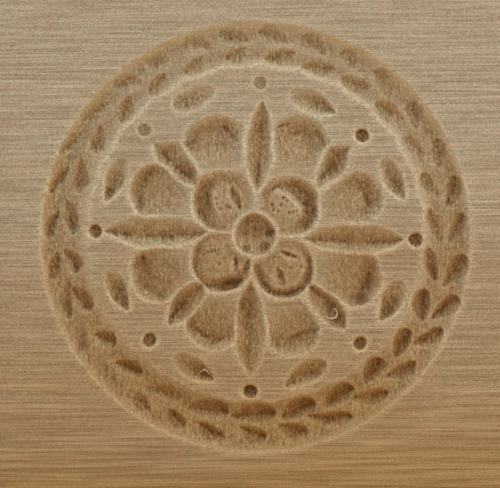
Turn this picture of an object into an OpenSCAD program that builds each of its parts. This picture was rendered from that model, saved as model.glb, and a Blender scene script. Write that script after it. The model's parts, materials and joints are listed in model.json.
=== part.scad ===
// Springerle mould: a flat wooden board whose face is carved with a rosette inside a wreath of leaves.
// The board lies on its back, carved face up. The origin is the middle of the back face, +Y is the
// top of the motif, and the grain runs along X. A screw eye in the top edge carries a hanging ring.

/* [Board] */
// Width of the board, along the grain
board_w = 104; // [94:1:150]
// Height of the board, across the grain
board_h = 100; // [94:1:150]
// Thickness of the board
board_t = 22; // [16:0.5:32]
// Width of the bevel that eases every arris
arris = 1; // [0.4:0.1:2]

/* [Wreath] */
// Outer radius of the sunk wreath band on the face
wreath_r = 43.2; // [41:0.1:45.5]
// Width of the band on the face
wreath_w = 9.4; // [8:0.1:11]
// Width of the sloping outer wall
outer_wall = 2.4; // [1.2:0.1:3]
// Width of the sloping inner wall
inner_wall = 1.6; // [0.8:0.1:2]
// Depth at the foot of the two walls
wreath_depth = 1.1; // [0.6:0.05:2]
// Depth at the low ridge between the two rows of leaves
ridge_depth = 0.8; // [0.4:0.05:1.5]
// Number of leaves in the outer row
outer_leaves = 31; // [20:1:34]
// Number of leaves in the inner row
inner_leaves = 27; // [16:1:30]
// Length of one wreath leaf
leaf_len = 7.2; // [5:0.1:9]
// Width of one wreath leaf
leaf_wid = 2.8; // [1.6:0.1:3.4]
// Depth of a leaf's crease below the ridge
leaf_cut = 1.2; // [0.5:0.05:2]
// Angle between a leaf and the run of the wreath
leaf_tilt = 29; // [15:1:40]
// Gap between the tips of the two rows
row_gap = 0.5; // [0:0.1:1.5]

/* [Field] */
// Turn of the whole motif, clockwise as seen from the front
motif_turn = 1.5; // [0:0.1:5]
// Radius of the round dots
dot_r = 1.35; // [0.8:0.05:1.8]
// Depth of the round dots
dot_depth = 1.1; // [0.4:0.05:1.8]
// Distance of the four dots beyond the spears from the middle
spear_dot_at = 31.4; // [30.8:0.1:32]
// Distance of the other four dots from the middle
corner_dot_at = 29.9; // [28:0.1:31.5]
// Distance of the eight lens leaves from the middle
lens_at = 29.8; // [28:0.1:31]
// Length of a lens leaf
lens_len = 8.4; // [6:0.1:10]
// Width of a lens leaf
lens_wid = 3.4; // [2:0.1:4]
// Depth of a lens leaf
lens_depth = 1.3; // [0.5:0.05:2]

/* [Rosette] */
// Distance of a spear's inner point from the middle
spear_in = 9.4; // [8.5:0.1:12]
// Distance of a spear's outer point from the middle
spear_out = 28.6; // [26:0.1:29.4]
// Width of a spear
spear_wid = 5.4; // [3:0.1:6]
// Depth of a spear's crease
spear_depth = 2; // [0.8:0.05:3]
// Distance of a diagonal leaf's inner point from the middle
diagonal_in = 15.4; // [14.8:0.1:18]
// Distance of a diagonal leaf's outer point from the middle
diagonal_out = 26.4; // [24:0.1:27.6]
// Width of a diagonal leaf
diagonal_wid = 4; // [2:0.1:4.4]
// Depth of a diagonal leaf's crease
diagonal_depth = 1.6; // [0.6:0.05:2.5]
// Distance of the eight scoops from the middle
scoop_at = 20; // [18:0.1:22]
// Angle between a scoop and the spear beside it
scoop_angle = 23.4; // [21:0.1:25]
// Radius of a scoop on the face
scoop_r = 5; // [3.5:0.1:5.4]
// Depth of a scoop
scoop_depth = 1.9; // [0.8:0.05:3]
// Distance of the four round petals from the middle
petal_at = 8.9; // [8.4:0.1:9.4]
// Radius of a round petal
petal_r = 5.7; // [4.5:0.1:6]
// Width of the groove that runs round inside a petal
petal_groove = 2.6; // [1.5:0.1:3.5]
// Depth of that groove
petal_depth = 1.9; // [1:0.05:3]
// Depth at the crown of the petal
petal_crown = 0.7; // [0.3:0.05:1.2]
// Radius of the disc in the middle
disc_r = 4.2; // [3.5:0.1:5]
// Depth of the disc
disc_depth = 1.5; // [0.8:0.05:2.5]
// Width of the disc's sloping wall
disc_wall = 0.5; // [0.2:0.1:1]
// Number of punch marks round the disc's middle one
punches = 7; // [4:1:9]
// Radius of the ring of punch marks
punch_ring = 2.6; // [1.8:0.1:2.8]
// Radius of one punch mark
punch_r = 0.55; // [0.3:0.05:0.7]
// Depth of one punch mark below the disc
punch_depth = 0.5; // [0.2:0.05:1]

/* [Hanger] */
// Radius of the eye's wire
eye_wire = 0.9; // [0.6:0.05:1]
// Radius of the eye's hole
eye_hole = 2.3; // [2:0.1:4]
// Length of bare shank between the board and the eye
eye_neck = 0.6; // [0.3:0.1:3]
// Radius of the threaded shank, and of its hole in the board
shank_r = 1.15; // [1.05:0.05:1.8]
// Length of shank in the wood
shank_len = 12; // [6:0.5:25]
// Length of the shank's point
shank_point = 2; // [1:0.1:3]
// Radius of the ring's wire
ring_wire = 0.8; // [0.5:0.05:1.1]
// Radius of the ring to the middle of its wire
ring_r = 7.2; // [6:0.1:9]
// Clearance between the ring and the eye that it hangs in
ring_gap = 0.3; // [0.2:0.05:0.6]
// Clearance between the lying ring and the surface under the board
floor_gap = 0.05; // [0:0.05:0.5]

/* [Hidden] */
$fn = 64;

// How far a cutter stands proud of the face that it cuts
over = 0.4;

// Radii of the wreath band, and of the middle of its two rows of leaves
wreath_in_r = wreath_r - wreath_w;
outer_foot_r = wreath_r - outer_wall;
inner_foot_r = wreath_in_r + inner_wall;
wreath_ridge_r = (outer_foot_r + inner_foot_r) / 2;
leaf_reach = leaf_len * sin(leaf_tilt);
outer_row_r = wreath_ridge_r + (row_gap + leaf_reach) / 2;
inner_row_r = wreath_ridge_r - (row_gap + leaf_reach) / 2;

// Radius at which the groove of a round petal is deepest
petal_low_r = petal_r - petal_groove / 2;

// The eye stands off the top edge, and the ring hangs through its hole until it meets the surface
eye_r = eye_hole + eye_wire;
eye_y = board_h / 2 + eye_neck + eye_r + eye_wire;
eye_z = board_t / 2;
ring_near = eye_hole - ring_gap - ring_wire;
ring_far = ring_near + 2 * ring_r;
ring_droop = asin(min(1, (eye_z - ring_wire - floor_gap) / ring_far));

// A rectangle with its corners cut off at 45 degrees
module bevelled_square(w, h, bevel) {
    x = w / 2;
    y = h / 2;
    polygon([
        [x - bevel, -y], [x, bevel - y], [x, y - bevel], [x - bevel, y],
        [bevel - x, y], [-x, y - bevel], [-x, bevel - y], [bevel - x, -y]
    ]);
}

// A block with every arris bevelled, its back face at z = 0
module bevelled_block(w, h, t, bevel) {
    intersection() {
        linear_extrude(t) bevelled_square(w, h, bevel);
        translate([0, h / 2, t / 2]) rotate([90, 0, 0]) linear_extrude(h) bevelled_square(w, t, bevel);
        translate([-w / 2, 0, t / 2]) rotate([90, 0, 90]) linear_extrude(w) bevelled_square(h, t, bevel);
    }
}

// A leaf-shaped V cut along Y: two hollow cones meet in the crease, and their rims draw the leaf's
// outline at z = 0. The cut goes on upwards to z = rise.
module leaf_cutter(length, width, depth, rise) {
    half_len = length / 2;
    half_wid = width / 2;
    rim_r = (half_len * half_len + half_wid * half_wid) / width;
    run = half_wid / depth;
    low = depth + over;
    intersection_for(side = [-1, 1]) {
        translate([side * (rim_r - half_wid), 0, -low]) {
            cylinder(h = low + rise, r1 = rim_r - low * run, r2 = rim_r + rise * run);
        }
    }
}

// A ball-shaped hollow with the given radius at z = 0
module scoop_cutter(radius, depth) {
    ball_r = (radius * radius + depth * depth) / (2 * depth);
    translate([0, 0, ball_r - depth]) sphere(ball_r);
}

// The sunk band that holds both rows of leaves
module wreath_band_cutter() {
    outer_run = outer_wall / wreath_depth;
    inner_run = inner_wall / wreath_depth;
    rotate_extrude() polygon([
        [wreath_in_r - over * inner_run, over],
        [inner_foot_r, -wreath_depth],
        [wreath_ridge_r, -ridge_depth],
        [outer_foot_r, -wreath_depth],
        [wreath_r + over * outer_run, over]
    ]);
}

// One row of wreath leaves; lean is 1 where a leaf runs inwards as it goes clockwise, -1 outwards
module leaf_row_cutter(count, radius, lean) {
    rise = ridge_depth + over;
    for (i = [0 : count - 1]) {
        rotate(-i * 360 / count) translate([0, radius, -ridge_depth]) {
            rotate(-90 - lean * leaf_tilt) leaf_cutter(leaf_len, leaf_wid, leaf_cut, rise);
        }
    }
}

// Eight dots and eight lens leaves on the plain field inside the wreath
module field_cutter() {
    for (i = [0 : 7]) {
        dot_at = i % 2 == 0 ? spear_dot_at : corner_dot_at;
        rotate(i * 45) translate([0, dot_at, 0]) scoop_cutter(dot_r, dot_depth);
        rotate(i * 45 + 22.5) translate([0, lens_at, 0]) {
            rotate(90) leaf_cutter(lens_len, lens_wid, lens_depth, over);
        }
    }
}

// A round petal: a groove just inside its outline, round a low crown
module petal_cutter() {
    groove_run = (petal_r - petal_low_r) / petal_depth;
    rotate_extrude() polygon([
        [0, over],
        [0, -petal_crown],
        [petal_low_r, -petal_depth],
        [petal_r + over * groove_run, over]
    ]);
}

// The sunk disc with its punch marks
module disc_cutter() {
    run = disc_wall / disc_depth;
    foot_r = disc_r - disc_wall;
    translate([0, 0, -disc_depth]) {
        cylinder(h = disc_depth + over, r1 = foot_r, r2 = disc_r + over * run);
        scoop_cutter(punch_r, punch_depth);
        for (i = [0 : punches - 1]) {
            rotate(i * 360 / punches) translate([0, punch_ring, 0]) scoop_cutter(punch_r, punch_depth);
        }
    }
}

// Spears to the four sides, leaves on the diagonals, scoops between them and petals inside
module rosette_cutter() {
    for (i = [0 : 3]) {
        rotate(i * 90) {
            translate([0, (spear_in + spear_out) / 2, 0]) {
                leaf_cutter(spear_out - spear_in, spear_wid, spear_depth, over);
            }
            for (side = [-1, 1]) {
                rotate(side * scoop_angle) translate([0, scoop_at, 0]) scoop_cutter(scoop_r, scoop_depth);
            }
        }
        rotate(i * 90 + 45) {
            translate([0, (diagonal_in + diagonal_out) / 2, 0]) {
                leaf_cutter(diagonal_out - diagonal_in, diagonal_wid, diagonal_depth, over);
            }
            translate([0, petal_at, 0]) petal_cutter();
        }
    }
    disc_cutter();
}

// Puts a cutter on the carved face, turned with the motif
module on_face() {
    translate([0, 0, board_t]) rotate(-motif_turn) children();
}

// The threaded shank along -Y with its point, from the top edge of the board into the wood
module shank() {
    body_len = shank_len - shank_point;
    translate([0, board_h / 2, eye_z]) rotate([90, 0, 0]) {
        cylinder(h = body_len, r = shank_r);
        translate([0, 0, body_len]) cylinder(h = shank_point, r1 = shank_r, r2 = 0);
    }
}

// The board is cut in the order of the work: the band, then its leaves, then the field and rosette
module mould_board() {
    color("burlywood") difference() {
        difference() {
            difference() {
                difference() {
                    bevelled_block(board_w, board_h, board_t, arris);
                    on_face() wreath_band_cutter();
                }
                on_face() leaf_row_cutter(outer_leaves, outer_row_r, 1);
            }
            on_face() leaf_row_cutter(inner_leaves, inner_row_r, -1);
        }
        on_face() {
            field_cutter();
            rosette_cutter();
        }
        shank();
    }
}

module screw_eye() {
    color("darkgoldenrod") {
        shank();
        translate([0, eye_y, eye_z]) rotate([0, 90, 0]) {
            rotate_extrude() translate([eye_r, 0]) circle(eye_wire);
        }
        translate([0, eye_y - eye_r, eye_z]) rotate([90, 0, 0]) {
            cylinder(h = eye_neck + eye_wire, r = shank_r);
        }
    }
}

module hanging_ring() {
    color("darkgoldenrod") translate([0, eye_y, eye_z]) rotate([-ring_droop, 0, 0]) {
        translate([0, ring_near + ring_r, 0]) rotate_extrude() translate([ring_r, 0]) circle(ring_wire);
    }
}

mould_board();
screw_eye();
hanging_ring();
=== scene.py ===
# %% [markdown]
# # A carved springerle mould
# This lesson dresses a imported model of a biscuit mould: a wooden board whose face is carved with a
# rosette in a wreath, and a small brass ring to hang it by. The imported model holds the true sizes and
# the joint. Every new surface below is worked out with numpy and stays in the same frame. Lengths are
# written in millimetres and turned into metres when a mesh is made.

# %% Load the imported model
import json

import bpy
import numpy as np
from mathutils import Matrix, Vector


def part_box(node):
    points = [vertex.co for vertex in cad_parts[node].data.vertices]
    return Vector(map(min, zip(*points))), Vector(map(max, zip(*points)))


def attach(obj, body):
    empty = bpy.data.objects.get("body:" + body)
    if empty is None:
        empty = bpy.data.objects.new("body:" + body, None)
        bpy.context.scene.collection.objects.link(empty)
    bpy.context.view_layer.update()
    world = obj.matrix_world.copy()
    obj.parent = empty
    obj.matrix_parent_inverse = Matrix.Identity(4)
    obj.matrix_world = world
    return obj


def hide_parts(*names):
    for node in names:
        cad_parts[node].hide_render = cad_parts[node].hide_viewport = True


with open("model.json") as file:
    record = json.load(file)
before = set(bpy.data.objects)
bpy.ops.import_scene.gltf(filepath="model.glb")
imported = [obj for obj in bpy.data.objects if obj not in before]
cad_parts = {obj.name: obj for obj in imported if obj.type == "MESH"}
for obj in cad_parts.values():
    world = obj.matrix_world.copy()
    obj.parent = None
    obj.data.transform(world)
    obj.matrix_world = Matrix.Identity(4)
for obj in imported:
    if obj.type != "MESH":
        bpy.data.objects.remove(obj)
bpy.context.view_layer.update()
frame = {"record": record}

MM = 0.001

# %% [markdown]
# ## The camera and the photograph's scale
# The photograph looks straight down on the carved face, so a long lens high above the board gives the
# same flat view. One pixel is 0.2 mm on the face. The board lies a little turned in the picture, which
# only shows where its lower edge comes in at the bottom right, so the camera is rolled by that much.
# Ornaments are placed in a drawing whose middle is the roundel's and whose sides are the picture's.

# %% Camera
PHOTO_W, PHOTO_H = 500, 488
MM_PER_PX = 0.2
ROUNDEL_PX = np.array((256.0, 236.5))
ROUNDEL_UP = 0.8
CAMERA_HEIGHT = 420.0
CAMERA_ROLL = np.radians(-0.4)
SENSOR_W = 36.0

board_low, board_high = (np.array(corner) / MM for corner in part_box("mould_board"))
HALF_W, HALF_H = (board_high - board_low)[:2] / 2
FACE_Z = board_high[2]


def from_photo(points):
    """Pixels to millimetres in the drawing: the way from the roundel's middle, with y turned upwards."""
    return (np.asarray(points, float) - ROUNDEL_PX) * MM_PER_PX * (1, -1)


def to_board(x, y):
    """Drawing to board: turned by the camera's roll, then lifted to the roundel's middle."""
    cos, sin = np.cos(CAMERA_ROLL), np.sin(CAMERA_ROLL)
    return x * cos - y * sin, x * sin + y * cos + ROUNDEL_UP


def to_drawing(x, y):
    """Board to drawing: the same two steps taken back."""
    cos, sin = np.cos(CAMERA_ROLL), np.sin(CAMERA_ROLL)
    return x * cos + (y - ROUNDEL_UP) * sin, (y - ROUNDEL_UP) * cos - x * sin


def make_camera():
    """A long lens straight above the spot that the middle of the photograph shows."""
    data = bpy.data.cameras.new("photo_camera")
    data.sensor_width = SENSOR_W
    data.lens = SENSOR_W * CAMERA_HEIGHT / (PHOTO_W * MM_PER_PX)
    data.clip_start, data.clip_end = 0.01, 20.0
    camera = bpy.data.objects.new("photo_camera", data)
    x, y = to_board(*from_photo((PHOTO_W / 2, PHOTO_H / 2)))
    camera.location = Vector((x, y, FACE_Z + CAMERA_HEIGHT)) * MM
    camera.rotation_euler = (0, 0, CAMERA_ROLL)
    bpy.context.scene.collection.objects.link(camera)
    bpy.context.scene.camera = camera
    return camera


camera = make_camera()
print("lens", round(camera.data.lens, 1), "mm above", [round(v, 4) for v in camera.location])

# %% [markdown]
# ## A grid over the face
# The carving is a height map: one depth for each point of the face. A sculpted mesh could do the same,
# but depths that are formulas can be read, changed and made again. The grid is close over the roundel,
# wide over the plain margin, and close again where the arris is rounded.

# %% Grid lines of the face
FINE_STEP = 0.2
CARVED_HALF = 44.8
ARRIS_R = 0.6
MARGIN_LINES, ARRIS_LINES = 4, 4


def grid_lines(half):
    """Lines from -half to half: even ones over the roundel, a few beyond it, then the arris."""
    count = round(2 * CARVED_HALF / FINE_STEP) + 1
    fine = np.linspace(-CARVED_HALF, CARVED_HALF, count)
    margin = np.linspace(CARVED_HALF, half - ARRIS_R, MARGIN_LINES + 1)[1:]
    arris = half - ARRIS_R * np.arange(ARRIS_LINES - 1, -1, -1) / ARRIS_LINES
    beyond = np.concatenate((margin, arris))
    return np.concatenate((-beyond[::-1], fine, beyond))


x_lines, y_lines = grid_lines(HALF_W), grid_lines(HALF_H)
grid_x, grid_y = np.meshgrid(x_lines, y_lines)
flat_x, flat_y = to_drawing(grid_x, grid_y)
print("face grid", grid_x.shape)

# %% [markdown]
# ## The unsteady hand
# No cut on the real mould is quite true. Instead of shaking each ornament by itself, the whole drawing
# is bent a little: smooth random waves shift the points before the cuts are measured. A fixed seed
# makes the same waves on every run.

# %% Smooth random waves
hand = np.random.default_rng(7)


def soft_waves(x, y, wavelength, count=14):
    """A smooth random field of about -1 to 1: sines that run in many directions, added up."""
    turn = hand.uniform(0, 2 * np.pi, count)
    phase = hand.uniform(0, 2 * np.pi, count)
    pitch = 2 * np.pi / (wavelength * hand.uniform(0.7, 1.5, count))
    waves = [np.sin((x * np.cos(t) + y * np.sin(t)) * k + p) for t, k, p in zip(turn, pitch, phase)]
    return np.sum(waves, axis=0) / np.sqrt(count)


WOBBLE, WOBBLE_LEN = 0.12, 6.0
drawn_x = flat_x + WOBBLE * soft_waves(flat_x, flat_y, WOBBLE_LEN)
drawn_y = flat_y + WOBBLE * soft_waves(flat_x, flat_y, WOBBLE_LEN)
print("largest shift", round(float(np.abs(drawn_x - flat_x).max()), 2), "mm")

# %% [markdown]
# ## The cuts
# A carver makes this pattern with a V tool, gouges and a punch. Each function gives the depth of one
# cut over the grid: above zero inside its outline, below zero outside, so that cuts merge by taking
# the deeper one. That leaves the sharp ridges between neighbours that real carving has.

# %% Merging cuts, and a stroke's own coordinates
OUTSIDE = -1.0
TINY = 1e-6


def along_stroke(x, y, start, end):
    """s runs from -1 at start to 1 at end, and t is the distance to the left of the stroke."""
    start, end = np.asarray(start, float), np.asarray(end, float)
    reach = (end - start) / 2
    half = np.hypot(*reach)
    ux, uy = reach / half
    dx, dy = x - (start[0] + end[0]) / 2, y - (start[1] + end[1]) / 2
    return (dx * ux + dy * uy) / half, dy * ux - dx * uy


def deeper(a, b, blend=0.12):
    """The deeper of two cuts, with the corner between them rounded over about the blend depth."""
    near = np.clip(blend - np.abs(a - b), 0, None)
    return np.maximum(a, b) + near * near / (4 * blend)


def shallower(a, b, blend=0.12):
    """The shallower of two cuts, rounded in the same way: where a wall meets a floor."""
    return -deeper(-a, -b, blend)


def smooth(value, low, high):
    """0 below low, 1 above high, and an S curve between them."""
    part = np.clip((value - low) / (high - low), 0, 1)
    return part * part * (3 - 2 * part)


print("helpers: stroke coordinates, deeper, shallower, smooth")

# %% V-tool leaves and punched dots


def vee_leaf(x, y, start, end, width, depth, blunt=0.0, crease=0.0, lean=0.0, section=1.15):
    """A leaf of half width (1 - s²)^0.8, broader towards its start by blunt. Its walls rise from a crease
    that lies off the middle by a share of the width, and its depth grows towards its end by lean."""
    s, t = along_stroke(x, y, start, end)
    keep = np.clip(1 - s * s, 0, None)
    swell = np.where(s < 0, keep ** (0.8 - 0.4 * blunt), keep ** (0.8 - 0.12 * blunt))
    swell = swell * (1 - 0.2 * blunt * s)
    half = width / 2 * swell + TINY
    low = crease * half
    wall = np.where(t > low, half - low, half + low)
    cut = depth * keep ** 0.55 * (1 + lean * s) * (1 - (np.abs(t - low) / wall) ** section)
    return np.where(keep > 0, np.maximum(cut, OUTSIDE), OUTSIDE)


def round_hollow(x, y, middle, radius, depth, power):
    """A round hollow whose floor follows 1 - rho^power, with rho = 1 on its outline."""
    rho = np.hypot(x - middle[0], y - middle[1]) / radius
    return np.maximum(depth * (1 - rho ** power), OUTSIDE)


print("cuts: leaf, round hollow")

# %% Gouged petals
CAP_START, CAP_ROUND = 0.06, 2.2
BROAD_AT, DEEP_AT = 1.4, 1.75
FLUTE, FLUTE_PITCH, FLUTE_FROM = 0.03, 46, 1.05
SCOOP_BLEND, PETAL_BLEND = 0.5, 0.15


def fan_scoop(x, y, inner, outer, narrow, broad, stop_wall, depth):
    """A petal that opens from narrow to broad under a round cap: a hollow floor that falls evenly towards
    the cap, and the fluted wall of a stop cut that comes down from the cap to meet it."""
    s, t = along_stroke(x, y, inner, outer)
    half = (narrow + (broad - narrow) * np.clip((s + 1) / BROAD_AT, 0, 1)) / 2
    side = np.abs(t / half)
    cap = np.clip((s - CAP_START) / (1 - CAP_START), 0, None)
    edge = (side ** CAP_ROUND + cap ** CAP_ROUND) ** (1 / CAP_ROUND)
    wall = depth * (1 - edge) / stop_wall
    fall = np.clip((s + 1) / DEEP_AT, 0, 1) ** 1.15
    floor = depth * fall * np.clip(1 - side ** 2.4, 0, None) ** 0.6
    fan = np.cos(FLUTE_PITCH * np.arctan2(t / half, s + FLUTE_FROM))
    flutes = FLUTE * fan * smooth(edge, 0.4, 0.7) * smooth(s, -0.2, 0.2)
    scoop = np.maximum(shallower(wall, floor, SCOOP_BLEND) + flutes, OUTSIDE)
    return np.where(s > -1, scoop, OUTSIDE)


def cupped_petal(x, y, middle, radii, deep_way, least, pad, flat, shift, wall_share, depth, crown):
    """A round outline with a wall that slopes less at the top, a groove below it that is deepest on one
    side and has a least share elsewhere, and a raised pad with one flat edge, shifted away from the groove,
    whose slope runs between two shares of the radius. The groove runs out towards the roundel's middle."""
    dx, dy = x - middle[0], y - middle[1]
    rho = np.hypot(dx / radii[0], dy / radii[1])
    reach = np.hypot(dx, dy) + TINY
    far = (dx * middle[0] + dy * middle[1]) / (reach * np.hypot(*middle))
    side = (dx * np.cos(deep_way) + dy * np.sin(deep_way)) / reach
    groove = smooth(far, -0.75, 0.3) * (least + (1 - least) * smooth(side, -0.1, 0.9))
    deep = crown + (depth - crown) * groove
    wall = deep * (1 - rho) / (wall_share * (1 + 0.5 * dy / reach))
    off_x, off_y = shift * np.cos(deep_way), shift * np.sin(deep_way)
    on_pad = np.hypot((dx + off_x) / radii[0], (dy + off_y) / radii[1])
    edge_way = np.radians(flat[0])
    past_edge = (dx * np.cos(edge_way) + dy * np.sin(edge_way)) / radii[0] - flat[1]
    on_pad = np.maximum(on_pad, past_edge + np.mean(pad))
    floor = crown + (deep - crown) * smooth(on_pad, *pad)
    return np.maximum(shallower(wall, floor, PETAL_BLEND), OUTSIDE)


print("cuts: fan scoop, cupped petal")

# %% [markdown]
# ## Where the ornaments sit
# These are the pixels of each ornament in the photograph. Long ornaments are given by their two ends,
# round ones by their middle. Widths and depths are real millimetres. Nothing here is quite regular,
# because the pattern was set out by eye.

# %% Ornaments of the rosette and its field
SPEARS_PX = [
    ((257, 192), (262, 102), 5.9, 0.0, 0.2),
    ((303, 237), (404, 240), 6.8, -0.25, 0.2),
    ((250, 283), (249.5, 376), 6.9, -0.1, -0.25),
    ((209, 232), (104, 231), 6.9, 0.3, 0.1),
]
DIAGONALS_PX = [
    ((147, 129), (199, 187), 6.0, 0.3, -0.25, (152, 142)),
    ((357, 127), (317, 188), 5.7, 0.3, 0.1, (351, 145)),
    ((346, 329), (307, 285), 5.2, 0.5, -0.3, None),
    ((205, 283), (168, 325), 5.7, 0.5, -0.2, None),
]
LENSES_PX = [
    ((173, 108), (215, 89), 4.5, 0.65, -0.3),
    ((290, 93), (336, 113), 4.6, 0.9, 0.4),
    ((383, 159), (404, 200), 4.3, 1.0, 0.2),
    ((402, 281), (381, 321), 4.7, 1.0, 0.5),
    ((326, 362), (284, 386), 4.4, 1.0, 0.0),
    ((174, 356), (214, 381), 4.4, 0.95, 0.45),
    ((108, 271), (128, 311), 3.9, 1.0, 0.5),
    ((123, 159), (106, 202), 4.1, 1.0, 0.5),
]
DOTS_PX = [
    ((260, 83), 0.30),
    ((362.5, 136), 0.75),
    ((416, 240), 0.75),
    ((359.5, 343.5), 0.65),
    ((250, 392), 0.95),
    ((149.5, 340), 0.65),
    ((95, 231), 0.70),
    ((144.5, 130.5), 0.30),
]
SCOOPS_PX = [
    ((226, 177), (207, 117), 34, 68, 0.58),
    ((290, 183), (306, 115), 32, 64, 0.58),
    ((313, 214), (383, 190), 26, 57, 0.48),
    ((310, 263), (381, 287), 28, 62, 0.42),
    ((279, 296), (302, 355), 36, 57, 0.5),
    ((228, 288), (203, 349), 34, 57, 0.5),
    ((197, 260), (132, 284), 28, 61, 0.38),
    ((199, 205), (130, 183), 24, 58, 0.32),
]
STOPS_PX = [
    ((220, 124), (240, 144), 1.6),
    ((187, 147), (197, 135), 1.3),
    ((313, 124), (326, 149), 1.7),
    ((276, 128), (291, 123), 1.0),
    ((358, 181), (374, 215), 1.6),
    ((376, 262), (355, 306), 2.4),
    ((283, 342), (321, 328), 1.3),
    ((225, 337), (209, 345), 1.4),
    ((191, 326), (210, 340), 1.3),
    ((141, 251), (152, 285), 1.7),
    ((140, 195), (139, 214), 1.5),
]
PETALS_PX = [
    ((223, 200), (32, 34), 195, 0.35, (0.36, 0.66), (180, 0.45), 3, 0.26, 1.6),
    ((288, 206), (32, 32), 10, 0.45, (0.54, 0.76), (53, 0.30), 3, 0.26, 1.7),
    ((284, 268), (31, 31), -60, 0.35, (0.62, 0.92), (200, 0.75), 0, 0.16, 1.3),
    ((221, 261), (31, 32), -50, 0.25, (0.55, 0.90), (-70, 0.62), 3, 0.15, 1.5),
]
VEINS_PX = [
    ((231, 184), (240, 211), 2.3),
    ((284, 287), (276, 266), 2.2),
    ((254, 264), (270, 294), 3.2),
    ((246, 282), (248, 258), 1.9),
    ((235, 255), (236, 273), 1.2),
    ((280, 250), (299, 259), 1.0),
]
PRICKS_PX = [
    (217, 204), (220, 209), (226, 206), (229, 208), (216, 199), (223, 202), (283, 198), (287, 201),
    (271, 205), (273, 209), (278, 211), (281, 205), (290, 213), (294, 212), (298, 211), (299, 216),
    (288, 255), (294, 257), (301, 267), (290, 267), (203, 254), (207, 253), (211, 252), (215, 252),
    (219, 251), (224, 249), (228, 247), (219, 264), (224, 259),
]
DISC_PX = (255, 235.5)
BLOBS_PX = [
    ((249, 222), 0.9, 0.25),
    ((257, 232), 1.5, 0.28),
    ((244, 232), 1.0, 0.25),
    ((269.5, 233), 1.2, 0.4),
    ((247, 249), 1.0, 0.22),
    ((265, 248), 1.3, 0.28),
]
print(len(SPEARS_PX) + len(DIAGONALS_PX) + len(LENSES_PX), "leaves,", len(DOTS_PX), "dots")

# %% [markdown]
# ## Carving the rosette
# Each ornament on the lists is now cut with its own tool. Of the main cuts the deeper one counts at
# every point. Small marks are added on top, so each deepens whatever it lies in.

# %% Leaves, scoops and dots of the rosette
SCOOP_DEPTH, SPEAR_DEPTH, DIAGONAL_DEPTH = 1.65, 1.4, 1.45
END_SLOPE, SIDE_SLOPE = 0.6, 0.6
LENS_DEPTH, LENS_BLUNT, LENS_SECTION = 0.95, 0.9, 1.7
DOT_R, DOT_POWER = 1.45, 8


def leaf_cuts(x, y):
    """One depth map for each scoop, spear, diagonal leaf, lens and dot. Two of the diagonal leaves end
    square, because a slope comes up at the corner that the photograph shows."""
    cuts = []
    for inner, outer, narrow, broad, stop in SCOOPS_PX:
        widths = np.array((narrow, broad)) * MM_PER_PX
        cuts.append(fan_scoop(x, y, *from_photo((inner, outer)), *widths, stop, SCOOP_DEPTH))
    for start, end, width, crease, lean in SPEARS_PX:
        cuts.append(vee_leaf(x, y, *from_photo((start, end)), width, SPEAR_DEPTH, 0.0, crease, lean))
    for start, end, width, blunt, crease, corner in DIAGONALS_PX:
        leaf = vee_leaf(x, y, *from_photo((start, end)), width, DIAGONAL_DEPTH, blunt, crease)
        if corner:
            side, top = np.abs(from_photo(corner))
            leaf = shallower(leaf, (top - y) * END_SLOPE)
            leaf = shallower(leaf, (side - np.abs(x)) * SIDE_SLOPE)
        cuts.append(leaf)
    for start, end, width, share, lean in LENSES_PX:
        ends = from_photo((start, end))
        cuts.append(vee_leaf(x, y, *ends, width, LENS_DEPTH * share, LENS_BLUNT, 0.0, lean, LENS_SECTION))
    for middle, depth in DOTS_PX:
        cuts.append(round_hollow(x, y, from_photo(middle), DOT_R, depth, DOT_POWER))
    return cuts


print("depth maps of scoops, spears, diagonals, lenses and dots are ready to be worked out")

# %% Petals and disc
PETAL_CROWN = 0.45
DISC_R, DISC_DEPTH, DISC_LEAN, DISC_POWER = 4.3, 1.15, 0.2, 3.5
DISC_RIM = (0.97, 1.35)
disc = from_photo(DISC_PX)


def petal_cuts(x, y):
    """The four petals, which run out before they reach the disc, and the disc, deeper at its top."""
    beyond = smooth(np.hypot(x - disc[0], y - disc[1]) / DISC_R, *DISC_RIM)
    cuts = []
    for middle, radii, way, least, pad, flat, shift, wall, depth in PETALS_PX:
        radii = np.array(radii) * MM_PER_PX
        petal = cupped_petal(x, y, from_photo(middle), radii, np.radians(way), least, pad, flat,
                             shift * MM_PER_PX, wall, depth, PETAL_CROWN)
        cuts.append(np.where(petal > 0, petal * beyond, petal))
    lean = 1 + DISC_LEAN * np.clip((y - disc[1]) / DISC_R, -1, 1)
    cuts.append(round_hollow(x, y, disc, DISC_R, DISC_DEPTH * lean, DISC_POWER))
    return cuts


print("disc", DISC_R, "mm in radius at", disc.round(2))

# %% Carve the rosette
VEIN_DEPTH, VEIN_BLUNT, STOP_DEPTH = 0.55, 0.7, 0.3
PRICK_R, PRICK_DEPTH, PRICK_POWER = 0.42, 0.28, 2


def small_marks(x, y):
    """Veins, stop cuts, pricks and blobs: small bites that deepen the cut they lie in."""
    marks = [vee_leaf(x, y, *from_photo((a, b)), w, VEIN_DEPTH, VEIN_BLUNT) for a, b, w in VEINS_PX]
    marks += [vee_leaf(x, y, *from_photo((a, b)), w, STOP_DEPTH) for a, b, w in STOPS_PX]
    marks += [round_hollow(x, y, from_photo(p), PRICK_R, PRICK_DEPTH, PRICK_POWER) for p in PRICKS_PX]
    marks += [round_hollow(x, y, from_photo(p), r, d, PRICK_POWER) for p, r, d in BLOBS_PX]
    return marks


def carve_rosette(x, y):
    """All inside the wreath: of the main cuts the deeper one counts, and the small marks are added."""
    depth = np.full_like(x, OUTSIDE)
    for cut in leaf_cuts(x, y) + petal_cuts(x, y):
        depth = deeper(depth, cut)
    for mark in small_marks(x, y):
        depth = depth + np.clip(mark, 0, None)
    return depth


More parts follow.
